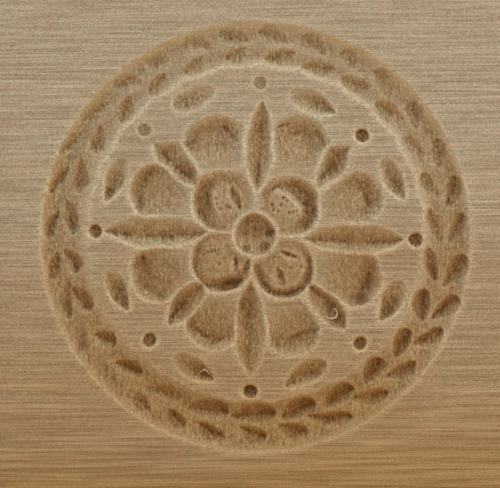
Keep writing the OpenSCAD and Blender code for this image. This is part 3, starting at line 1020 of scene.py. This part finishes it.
def fibre_wire(spots):
    """A curve through the spots at the depth of the cut, lifted by half a sine wave between its ends and
    held below the face."""
    x, y = to_board(*from_photo(spots).T)
    z = FACE_Z - FIBRE_ROOT - face_depth[np.searchsorted(y_lines, y), np.searchsorted(x_lines, x)]
    share, fine = np.linspace(0, 1, len(spots)), np.linspace(0, 1, FIBRE_STEPS)
    curve = [np.polyval(np.polyfit(share, v, len(spots) - 1), fine) for v in (x, y)]
    arch = np.sin(np.pi * fine)
    radius = FIBRE_R * (0.45 + 0.55 * arch ** 0.6)
    height = np.interp(fine, share, z) + (FIBRE_LIFT + FIBRE_ROOT) * arch
    path = np.column_stack(curve + [np.minimum(height, FACE_Z - radius)])
    return swept_wire(path, np.array((0, 0, 1.0)), np.repeat(radius[:, None], WIRE_SIDES, axis=1))


loose_fibres = [mesh_piece(name, *fibre_wire(spots)) for name, spots in FIBRES_PX.items()]
for loose_fibre in loose_fibres:
    loose_fibre.data.shade_smooth()
    # The fibres take the pale of the ridges, wear and painted highlight alike.
    paint(loose_fibre, "ridge", np.ones(len(loose_fibre.data.vertices)))
    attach(loose_fibre, "board")
print("loose fibres:", [f.name for f in loose_fibres])

# %% [markdown]
# ## The screw eye
# The eye is one wire: threaded shank, a bend to the side, then nearly a full turn that stops short of
# the shank. The thread is a ridge that climbs once round the shank for each pitch. Its sizes are
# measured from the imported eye, so that it sits in the same hole and round the same hinge.

# %% Build the screw eye
eye_low, eye_high = (np.array(corner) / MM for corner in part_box("screw_eye"))
EYE_WIRE = 0.9
EYE_R = (eye_high[2] - eye_low[2]) / 2 - EYE_WIRE
THREAD_R = (eye_high[0] - eye_low[0]) / 2
CORE_R, PITCH, POINT_LEN = 0.78, 1.1, 2.5
BEND_START, BEND_ON, BEND_PULL = -EYE_R - 1.15, np.radians(38), 2.2
EYE_STOP = np.radians(322)
SHANK_STEPS, BEND_STEPS, EYE_STEPS = 200, 24, 110


def eye_path():
    """Straight up the shank, a cubic curve onto the circle, then the circle; columns: sideways, up."""
    shank_up = np.linspace(eye_low[1] - hinge[1], BEND_START, SHANK_STEPS)[:-1]
    shank = np.column_stack((np.zeros_like(shank_up), shank_up))
    share = np.linspace(0, 1, BEND_STEPS)[:-1, None]
    start, on = np.array((0, BEND_START)), EYE_R * np.array((np.sin(BEND_ON), -np.cos(BEND_ON)))
    leave = BEND_PULL * np.array((0, 1))
    arrive = BEND_PULL * np.array((np.cos(BEND_ON), np.sin(BEND_ON)))
    bend = (start * (2 * share**3 - 3 * share**2 + 1) + leave * (share**3 - 2 * share**2 + share)
            + on * (3 * share**2 - 2 * share**3) + arrive * (share**3 - share**2))
    turn = np.linspace(BEND_ON, EYE_STOP, EYE_STEPS)
    ring = EYE_R * np.column_stack((np.sin(turn), -np.cos(turn)))
    return np.concatenate((shank, bend, ring))


def eye_radius(path):
    """The wire's radius; on the shank a core with a ridge where height and turn agree, and a point."""
    length = np.append(0, np.cumsum(np.linalg.norm(np.diff(path, axis=0), axis=1)))
    turn = np.linspace(0, 1, WIRE_SIDES, endpoint=False)
    climb = (length[:, None] / PITCH - turn) % 1
    crest = np.clip(1 - np.abs(climb - 0.5) * 3, 0, 1)
    on_shank = 1 - smooth(path[:, 1] + hinge[1], HALF_H - 0.6, HALF_H + 0.25)[:, None]
    core = EYE_WIRE + (CORE_R - EYE_WIRE) * on_shank
    point = np.clip(length / POINT_LEN, 0.04, 1)[:, None]
    thread = (THREAD_R - CORE_R) * crest * on_shank
    return (core + thread) * point * filed_end(length[-1] - length, EYE_WIRE)[:, None]


eye_flat = eye_path()
eye_line = hinge + np.column_stack((np.zeros(len(eye_flat)), eye_flat[:, 1], eye_flat[:, 0]))
screw_eye = mesh_piece("brass_eye", *swept_wire(eye_line, np.array((1.0, 0, 0)), eye_radius(eye_flat)))
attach(screw_eye, "board")
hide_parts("screw_eye")
print("brass_eye:", len(screw_eye.data.polygons), "faces, eye radius", round(EYE_R, 2))

# %% [markdown]
# ## The hanging ring
# The ring is a length of thinner wire bent round until its two filed ends meet, and not soldered. It
# hangs in the eye and its far side rests near the table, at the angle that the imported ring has.

# %% Build the ring
ring_low, ring_high = (np.array(corner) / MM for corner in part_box("hanging_ring"))
RING_WIRE = 0.8
RING_R = (ring_high[0] - ring_low[0]) / 2 - RING_WIRE
RING_NEAR = 1.2
ring_droop = np.arcsin((hinge[2] - ring_low[2] - RING_WIRE) / (RING_NEAR + 2 * RING_R))
JOINT_AT, JOINT_GAP = np.radians(40), 0.12 / RING_R
RING_STEPS = 260


def ring_wire():
    """A circle in the plane of X and the droop direction, open by a hair at the joint, with filed ends."""
    out = np.array((0, np.cos(ring_droop), -np.sin(ring_droop)))
    side = np.array((1.0, 0, 0))
    turn = JOINT_AT + np.linspace(JOINT_GAP / 2, 2 * np.pi - JOINT_GAP / 2, RING_STEPS)[:, None]
    path = hinge + (RING_NEAR + RING_R) * out + RING_R * (np.cos(turn) * out + np.sin(turn) * side)
    length = RING_R * np.linspace(0, 2 * np.pi, len(path))
    ends = filed_end(np.minimum(length, length[::-1]), RING_WIRE)[:, None]
    return swept_wire(path, np.cross(side, out), RING_WIRE * ends * np.ones((1, WIRE_SIDES)))


hanging_ring = mesh_piece("brass_ring", *ring_wire())
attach(hanging_ring, "ring")
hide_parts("hanging_ring")
for brass_piece in (screw_eye, hanging_ring):
    brass_piece.data.shade_smooth()
print("brass_ring:", len(hanging_ring.data.polygons), "faces, droop", np.degrees(ring_droop).round(1))

# %% [markdown]
# ## A small kit for finishes
# A finish is a net of shader nodes. This class writes one node per call and hands back its output, so
# a material reads like a recipe. Patterns are laid on Object coordinates, in turns per millimetre
# along each axis, so wood fibres are simply a noise that is far longer along X than across it.

# %% Finish kit


class Finish:
    """A material under construction: each method adds nodes and returns the output of the last one."""

    def __init__(self, name):
        self.material = bpy.data.materials.new(name)
        self.material.use_nodes = True
        self.tree = self.material.node_tree
        self.shader = self.tree.nodes["Principled BSDF"]
        self.place = self.tree.nodes.new("ShaderNodeTexCoord").outputs["Object"]

    def wire(self, socket, value):
        """A link where the value is another node's output, and else a constant on the socket."""
        if isinstance(value, bpy.types.NodeSocket):
            self.tree.links.new(value, socket)
        else:
            socket.default_value = value

    def node(self, kind, settings, wires):
        """Any node, with its settings and its inputs."""
        made = self.tree.nodes.new(kind)
        for key, value in settings.items():
            setattr(made, key, value)
        for key, value in wires.items():
            self.wire(made.inputs[key], value)
        return made

    def noise(self, per_mm, detail=2.0, rough=0.5, offset=(0, 0, 0)):
        """Noise with its own number of turns per millimetre along X, Y and Z."""
        scale = tuple(np.array(per_mm) / MM)
        wires = {"Vector": self.place, "Scale": scale, "Location": offset}
        placed = self.node("ShaderNodeMapping", {}, wires).outputs[0]
        wires = {"Vector": placed, "Scale": 1.0, "Detail": detail, "Roughness": rough}
        return self.node("ShaderNodeTexNoise", {}, wires).outputs["Fac"]

    def math(self, operation, a, b=0.0, c=0.0):
        """One sum on numbers: the operation's name, then what it works on."""
        return self.node("ShaderNodeMath", {"operation": operation}, {0: a, 1: b, 2: c}).outputs[0]

    def times(self, a, b):
        """The product of two shares."""
        return self.math("MULTIPLY", a, b)

    def spread(self, value, low, high, start=0.0, end=1.0):
        """Low to high stretched over start to end, and held there beyond."""
        wires = {"Value": value, "From Min": low, "From Max": high, "To Min": start, "To Max": end}
        return self.node("ShaderNodeMapRange", {"clamp": True}, wires).outputs[0]

    def mix(self, share, a, b, way="MIX"):
        """Colour a going over to colour b, or multiplied by it, by a share."""
        a, b = ((*c, 1.0) if isinstance(c, tuple) else c for c in (a, b))
        wires = {"Factor": share, 6: a, 7: b}
        return self.node("ShaderNodeMix", {"data_type": "RGBA", "blend_type": way}, wires).outputs[2]

    def mask(self, name):
        """A paint mask of the piece that carries the material."""
        return self.node("ShaderNodeAttribute", {"attribute_name": name}, {}).outputs["Fac"]

    def coat(self, colour, name, broken, paint):
        """Paint over the colour where a mask lies, broken up by a share that varies."""
        return self.mix(self.times(self.mask(name), broken), colour, paint)

    def bump(self, height, depth_mm, strength=1.0, under=None):
        """Small relief of a depth in millimetres, on top of the relief under it."""
        wires = {"Height": height, "Distance": depth_mm * MM, "Strength": strength}
        if under is not None:
            wires["Normal"] = under
        return self.node("ShaderNodeBump", {}, wires).outputs[0]

    def finish(self, **wires):
        """The last step: what goes into the shader itself."""
        for key, value in wires.items():
            self.wire(self.shader.inputs[key.replace("_", " ").title()], value)
        return self.material


print("finish kit ready")

# %% [markdown]
# ## The wood
# The board is a plain light hardwood, cut with the grain across the picture. Twelve noises make its
# grain: each has its turns per millimetre along X, Y and Z, its detail, its roughness and its offset.
# The growth bands are rings round a pith below the board. They are faint on the face, and show
# strongly on the two ends, where the rings are cut across.

# %% Grain and growth bands
GRAIN = {
    "fibre": ((0.07, 3.2, 3.2), 1.0, 0.6, (0, 0, 0)),
    "fine": ((0.06, 4.4, 4.4), 0.0, 0.5, (2, 6, 4)),
    "pore": ((0.012, 2.0, 2.0), 1.0, 0.5, (4, 9, 9)),
    "short": ((2.9, 3.3, 3.3), 1.0, 0.6, (3, 7, 1)),
    "weave": ((2.8, 0.9, 0.9), 1.0, 0.5, (6, 3, 3)),
    "fleck": ((3.2, 0.9, 1.4), 1.0, 0.5, (8, 4, 7)),
    "grit": ((4.6, 4.6, 4.6), 0.0, 0.5, (7, 2, 3)),
    "streak": ((2.1, 0.35, 0.5), 3.0, 0.65, (5, 1, 8)),
    "speck": ((2.8, 1.7, 2.2), 2.0, 0.7, (2, 2, 6)),
    "patch": ((0.22, 0.26, 0.26), 2.0, 0.6, (1, 8, 5)),
    "broad": ((0.012, 0.09, 0.09), 2.0, 0.5, (9, 2, 4)),
    "hue": ((0.45, 0.8, 0.8), 2.0, 0.6, (7, 5, 2)),
}
PITH_Y, PITH_Z, RING_STEP = -0.030, -0.055, 0.0034
BAND_BEND, BAND_WANDER = (0.012, 0.05, 0.05), 0.012
END_FROM = (0.0513, 0.0517)
END_BANDS, FACE_BANDS = 0.5, 0.06


def growth_bands(wood, along, up, out):
    """Distance from the pith line, which runs along X below the board, bent by slow noise and cut into
    steps. Each band darkens towards its end, by a share that is far larger on the ends of the board."""
    dy = wood.math("SUBTRACT", up, PITH_Y)
    dz = wood.math("SUBTRACT", out, PITH_Z)
    away = wood.math("SQRT", wood.math("ADD", wood.times(dy, dy), wood.times(dz, dz)))
    bent = wood.math("MULTIPLY_ADD", wood.noise(BAND_BEND, 2.0), BAND_WANDER, away)
    band = wood.math("FRACT", wood.math("DIVIDE", bent, RING_STEP))
    end = wood.spread(wood.math("ABSOLUTE", along), *END_FROM)
    return wood.times(wood.spread(band, 0.45, 0.97), wood.math("MULTIPLY_ADD", end, END_BANDS, FACE_BANDS))


print(len(GRAIN), "noises, growth bands", RING_STEP / MM, "mm wide")

# %% [markdown]
# The planed face shows short dark fibres and pale flecks, and near its bottom edge longer ones. Each
# stretch below gives the low and the high of a noise, and where it matters the share at either end.

# %% Planed face
WOOD_PALE, WOOD_FIBRE = (0.512, 0.432, 0.318), (0.306, 0.232, 0.149)
FIELD_TINT = (0.86, 0.77, 0.64)
LONG_FROM, FINE_FROM = (-0.026, -0.042), (0.046, 0.034)


def planed_face(wood, grain, along, up, out):
    """Fibres from three noises, then pores, growth bands, fine lines away from the edges, and the tint of
    the field."""
    lines = wood.math("MULTIPLY_ADD", grain["weave"], 0.2, grain["fibre"])
    lines = wood.math("MULTIPLY_ADD", grain["short"], 0.9, lines)
    longer = wood.math("MULTIPLY_ADD", grain["fibre"], 0.35, 0.075)
    longer = wood.math("MULTIPLY_ADD", grain["short"], -0.5, longer)
    lines = wood.math("MULTIPLY_ADD", longer, wood.spread(up, *LONG_FROM), lines)
    face = wood.mix(wood.spread(lines, 0.78, 1.32), WOOD_FIBRE, WOOD_PALE)
    face = wood.mix(wood.spread(grain["pore"], 0.60, 0.74, 0.0, 0.10), face, WOOD_FIBRE)
    face = wood.mix(growth_bands(wood, along, up, out), face, WOOD_FIBRE)
    fine = wood.spread(grain["fine"], 0.35, 0.65, 0.90, 1.10)
    face = wood.mix(wood.spread(wood.math("ABSOLUTE", up), *FINE_FROM), face, fine, "MULTIPLY")
    return wood.mix(wood.mask("field"), face, FIELD_TINT, "MULTIPLY")


print("planed face from", WOOD_FIBRE, "to", WOOD_PALE)

# %% [markdown]
# Where the tool has cut, the fibres are torn into upright streaks and specks. The masks then lay one
# coat after another: walls painted pale as lit and tan as shaded, painted orange shade in the depths,
# pale specks of dust and painted sheen, stains, painted shade and dirt in hollows and creases, and last
# the ridges, painted pale as wear and as a highlight.

# %% Cut wood and its coats
CUT_PALE, CUT_BROWN, CUT_SHARE = (0.412, 0.306, 0.172), (0.254, 0.160, 0.073), 0.8
SHADED_WALL_TAN, LIT_WALL_PALE = (0.396, 0.248, 0.100), (0.483, 0.398, 0.262)
DEPTH_SHADE_ORANGE, PALE_WEAR_AND_HIGHLIGHT = (0.294, 0.157, 0.052), (0.678, 0.580, 0.416)
SHADE_AND_STAIN_DARK, SOAKED = (0.122, 0.056, 0.017), (0.160, 0.074, 0.023)


def coated(wood, grain, face, cut, up):
    """Torn wood over the face by the cut mask, then a coat for each of the other masks."""
    short, speck = grain["short"], grain["speck"]
    ragged = wood.math("ADD", grain["streak"], speck)
    torn = wood.mix(wood.spread(ragged, 0.76, 1.20), CUT_BROWN, CUT_PALE)
    colour = wood.mix(wood.times(cut, CUT_SHARE), face, torn)
    # Painted light on walls that face the window, painted shade on walls that turn from it.
    colour = wood.coat(colour, "lit_and_pale", wood.spread(ragged, 0.82, 1.15, 0.3, 1.0), LIT_WALL_PALE)
    colour = wood.coat(colour, "shaded_and_tan", wood.spread(ragged, 0.8, 1.1, 0.95, 0.6), SHADED_WALL_TAN)
    # Painted shade: the deep parts of the cuts are painted dark orange, as the warm shade deep in a cut.
    colour = wood.coat(colour, "deep", wood.spread(speck, 0.3, 0.7, 0.65, 0.2), DEPTH_SHADE_ORANGE)
    # Pale specks of dust and painted sheen, more of them towards the top where the window's sheen falls.
    dust_and_sheen = wood.math("MULTIPLY_ADD", cut, 0.1, wood.spread(up, -0.035, 0.03, 0.15, 0.42))
    colour = wood.mix(wood.times(wood.spread(speck, 0.6, 0.74), dust_and_sheen), colour, PALE_WEAR_AND_HIGHLIGHT)
    colour = wood.coat(colour, "soaked", wood.spread(ragged, 0.8, 1.15, 1.0, 0.65), SOAKED)
    colour = wood.mix(wood.spread(wood.mask("soaked"), 0.6, 1.0, 0.0, 0.65), colour, SHADE_AND_STAIN_DARK)
    # Painted shade and dirt in hollows and creases, broken up in patches.
    shade_and_dirt_patches = wood.spread(grain["patch"], 0.36, 0.58, 0.4, 1.0)
    in_hollow = wood.times(shade_and_dirt_patches, wood.spread(speck, 0.3, 0.7, 0.75, 0.1))
    colour = wood.coat(colour, "hollow", in_hollow, SHADE_AND_STAIN_DARK)
    in_crease = wood.times(shade_and_dirt_patches, wood.spread(ragged, 0.8, 1.15, 1.0, 0.1))
    colour = wood.coat(colour, "crease", in_crease, SHADE_AND_STAIN_DARK)
    colour = wood.mix(cut, colour, wood.spread(grain["fleck"], 0.34, 0.66, 0.76, 1.22), "MULTIPLY")
    # Pale ridges: wear and painted highlight.
    worn_and_lit = wood.spread(wood.math("ADD", short, speck), 0.82, 1.12, 0.1, 1.0)
    return wood.coat(colour, "ridge", worn_and_lit, PALE_WEAR_AND_HIGHLIGHT)


print("coats: bleached, oiled, deep, soaked, hollow, crease, ridge")

# %% [markdown]
# The whole finish puts these parts together and tints them: browner towards the bottom of the board,
# which is painted warm light, with patches of ruddy and olive hue and a fine grit. Dry wood hardly
# shines, so its gloss is low.

# %% Wood finish
PAINTED_WARM_LIGHT, WARM_FROM, WARM_WANDER = (0.835, 0.615, 0.385), (0.046, -0.03), 0.05
RUDDY, OLIVE = (1.035, 0.98, 0.95), (0.975, 1.01, 0.96)
WOOD_GLOSS = 0.06
GRAIN_RELIEF, TEAR_RELIEF = 0.06, 0.1


def carved_wood():
    """Face, coats, then three tints over all: browner towards the bottom as painted warm light, patches of
    hue, and grit. The surface is rougher where it is cut, and fibres and tears stand out as small relief."""
    wood = Finish("carved_wood")
    along, up, out = wood.node("ShaderNodeSeparateXYZ", {}, {0: wood.place}).outputs
    grain = {name: wood.noise(*settings) for name, settings in GRAIN.items()}
    cut = wood.mask("cut")
    colour = coated(wood, grain, planed_face(wood, grain, along, up, out), cut, up)
    # Painted warm light: the colour turns browner towards the bottom of the board.
    low = wood.spread(wood.math("MULTIPLY_ADD", grain["broad"], WARM_WANDER, up), *WARM_FROM)
    colour = wood.mix(low, colour, PAINTED_WARM_LIGHT, "MULTIPLY")
    hue = wood.mix(wood.spread(grain["hue"], 0.35, 0.65), OLIVE, RUDDY)
    colour = wood.mix(1.0, colour, hue, "MULTIPLY")
    colour = wood.mix(1.0, colour, wood.spread(grain["grit"], 0.3, 0.7, 0.88, 1.12), "MULTIPLY")
    rough = wood.spread(wood.math("MULTIPLY_ADD", cut, 0.4, grain["fibre"]), 0.3, 1.1, 0.5, 0.75)
    fibres = wood.bump(wood.math("ADD", grain["fibre"], grain["short"]), GRAIN_RELIEF)
    ragged = wood.math("ADD", grain["streak"], grain["speck"])
    tears = wood.bump(wood.times(ragged, cut), TEAR_RELIEF, under=fibres)
    wood.shader.inputs["Specular IOR Level"].default_value = WOOD_GLOSS
    return wood.finish(base_color=colour, roughness=rough, normal=tears)


def dress(pieces, material):
    """The material alone on each of the pieces."""
    for piece in pieces:
        piece.data.materials.clear()
        piece.data.materials.append(material)


dress([carved_board, *loose_fibres], carved_wood())
print("carved_wood on", carved_board.name, "and", len(loose_fibres), "fibres")

# %% [markdown]
# ## The brass
# Old brass wire is bright only where it rubs. Elsewhere a brown skin has grown in clouds, and fine
# scratches run round the wire. Metal takes its colour from the light it mirrors, so the finish is
# mainly a change of tint and gloss.

# %% Brass finish
BRASS, TARNISH = (0.55, 0.40, 0.17), (0.17, 0.105, 0.045)


def aged_brass():
    """Tint and gloss follow the same clouds; the scratches are a finer, stretched noise."""
    brass = Finish("aged_brass")
    clouds = brass.noise((0.35, 0.35, 0.35), 4.0, 0.6)
    specks = brass.noise((2.2, 2.2, 2.2), 2.0, 0.6, offset=(4, 4, 1))
    scratches = brass.noise((6.0, 0.7, 0.7), 2.0, 0.6)
    age = brass.spread(brass.math("MULTIPLY_ADD", specks, 0.35, clouds), 0.5, 0.85)
    colour = brass.mix(age, BRASS, TARNISH)
    rough = brass.spread(brass.math("MULTIPLY_ADD", scratches, 0.3, age), 0.1, 1.1, 0.26, 0.6)
    normal = brass.bump(brass.math("ADD", scratches, specks), 0.02, 0.5)
    return brass.finish(base_color=colour, metallic=1.0, roughness=rough, normal=normal)


dress([screw_eye, hanging_ring], aged_brass())
print("aged_brass on", screw_eye.name, "and", hanging_ring.name)

# %% [markdown]
# ## Light and floor
# The photograph is lit by one large cool window beyond the top of the board, a weaker warm lamp at the
# bottom right, and the room. Two wide lamps stand for the first two and an even world for the room.
# The walls of a cut that face the window come out pale and the others brown, partly from these lamps
# and partly from the pale and tan that the masks paint on as light and shade, which is what makes the
# hollows readable.

# %% Lamps, world and floor
WINDOW_AT, WINDOW_SIZE, WINDOW_POWER, WINDOW_TINT = (110, 640, 640), (990, 540), 6.27, (0.94, 0.985, 1.0)
LAMP_AT, LAMP_SIZE, LAMP_POWER, LAMP_TINT = (225, -435, 375), (630, 300), 1.48, (1.0, 0.66, 0.34)
ROOM_LIGHT, ROOM_TINT = 0.36, (1.0, 0.955, 0.90, 1)
FLOOR_HALF, FLOOR_DARK, FLOOR_PALE = 1500, (0.72, 0.70, 0.67), (0.78, 0.76, 0.73)


def area_lamp(name, place, size, power, colour):
    """A soft rectangular lamp at a place in millimetres, turned towards the middle of the face."""
    data = bpy.data.lights.new(name, "AREA")
    data.shape = "RECTANGLE"
    data.size, data.size_y = np.array(size) * MM
    data.energy = power
    data.color = colour
    lamp = bpy.data.objects.new(name, data)
    lamp.location = Vector(place) * MM
    lamp.rotation_euler = (Vector((0, 0, FACE_Z)) - Vector(place)).to_track_quat("-Z", "Y").to_euler()
    bpy.context.scene.collection.objects.link(lamp)


def pale_floor():
    """A matt pale ground with a faint mottle."""
    ground = Finish("pale_floor")
    mottle = ground.noise((0.02, 0.02, 0.02))
    return ground.finish(base_color=ground.mix(mottle, FLOOR_DARK, FLOOR_PALE), roughness=0.85)


area_lamp("window", WINDOW_AT, WINDOW_SIZE, WINDOW_POWER, WINDOW_TINT)
area_lamp("table_lamp", LAMP_AT, LAMP_SIZE, LAMP_POWER, LAMP_TINT)
world = bpy.data.worlds.new("room")
bpy.context.scene.world = world
world.use_nodes = True
world.node_tree.nodes["Background"].inputs["Color"].default_value = ROOM_TINT
world.node_tree.nodes["Background"].inputs["Strength"].default_value = ROOM_LIGHT
floor_corners = FLOOR_HALF * np.array([(-1, -1, 0), (1, -1, 0), (1, 1, 0), (-1, 1, 0)])
floor = mesh_piece("floor", floor_corners, [(0, 1, 2, 3)])
floor.data.materials.append(pale_floor())
bpy.context.scene.view_settings.view_transform = "Standard"
print("window", WINDOW_POWER, "W, lamp", LAMP_POWER, "W, room", ROOM_LIGHT)
